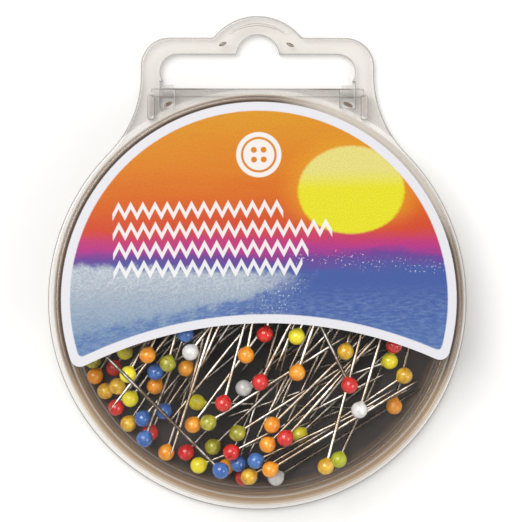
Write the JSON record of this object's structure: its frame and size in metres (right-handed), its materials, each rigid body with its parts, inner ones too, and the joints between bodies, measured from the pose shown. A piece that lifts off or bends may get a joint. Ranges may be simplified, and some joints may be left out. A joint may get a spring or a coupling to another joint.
{
  "type": "boxed glass-headed pins",
  "caption": "Round clear hang-tab box with a hinged lid, a paper front label and a heap of steel pins with coloured glass heads.",
  "frame": {"origin": "centre of the round back face, on the face itself", "axes": "+Z out of the front of the box, +Y from the dish towards the hang tab, +X to the right as the front is looked at; the box lies on its back with the lid shut"},
  "size_m": [0.0706, 0.0833, 0.0143],
  "materials": {
    "clear_plastic": "clear, polished moulded polystyrene",
    "label_paper": "self-adhesive paper, printed and varnished, white border",
    "black_card": "plain matt card",
    "pin_steel": "bright nickel-plated wire",
    "yellow_glass": "glossy lamp-melted glass bead",
    "amber_glass": "glossy lamp-melted glass bead",
    "orange_glass": "glossy lamp-melted glass bead",
    "red_glass": "glossy lamp-melted glass bead",
    "blue_glass": "glossy lamp-melted glass bead",
    "olive_glass": "glossy lamp-melted glass bead",
    "lime_glass": "glossy lamp-melted glass bead",
    "pearl_glass": "glossy lamp-melted glass bead"
  },
  "bodies": {
    "base": {"case_base": "clear_plastic", "backing_card": "black_card", "pin_shank_01": "pin_steel", "pin_head_01": "red_glass", "pin_shank_02": "pin_steel", "pin_head_02": "pearl_glass", "pin_shank_03": "pin_steel", "pin_head_03": "orange_glass", "pin_shank_04": "pin_steel", "pin_head_04": "yellow_glass", "pin_shank_05": "pin_steel", "pin_head_05": "lime_glass", "pin_shank_06": "pin_steel", "pin_head_06": "orange_glass", "pin_shank_07": "pin_steel", "pin_head_07": "red_glass", "pin_shank_08": "pin_steel", "pin_head_08": "amber_glass", "pin_shank_09": "pin_steel", "pin_head_09": "red_glass", "pin_shank_10": "pin_steel", "pin_head_10": "blue_glass", "pin_shank_11": "pin_steel", "pin_head_11": "red_glass", "pin_shank_12": "pin_steel", "pin_head_12": "amber_glass", "pin_shank_13": "pin_steel", "pin_head_13": "orange_glass", "pin_shank_14": "pin_steel", "pin_head_14": "yellow_glass", "pin_shank_15": "pin_steel", "pin_head_15": "blue_glass", "pin_shank_16": "pin_steel", "pin_head_16": "amber_glass", "pin_shank_17": "pin_steel", "pin_head_17": "olive_glass", "pin_shank_18": "pin_steel", "pin_head_18": "orange_glass", "pin_shank_19": "pin_steel", "pin_head_19": "red_glass", "pin_shank_20": "pin_steel", "pin_head_20": "yellow_glass", "pin_shank_21": "pin_steel", "pin_head_21": "blue_glass", "pin_shank_22": "pin_steel", "pin_head_22": "yellow_glass", "pin_shank_23": "pin_steel", "pin_head_23": "orange_glass", "pin_shank_24": "pin_steel", "pin_head_24": "pearl_glass", "pin_shank_25": "pin_steel", "pin_head_25": "yellow_glass", "pin_shank_26": "pin_steel", "pin_head_26": "orange_glass", "pin_shank_27": "pin_steel", "pin_head_27": "amber_glass", "pin_shank_28": "pin_steel", "pin_head_28": "yellow_glass"},
    "lid": {"case_lid": "clear_plastic", "front_label": "label_paper"}
  },
  "joints": [
    {"name": "lid_hinge", "type": "hinge", "parent": "base", "child": "lid", "pos_m": [0, 0.03495, 0.0017], "axis": [-1, 0, 0], "range_deg": [0, 94]}
  ]
}
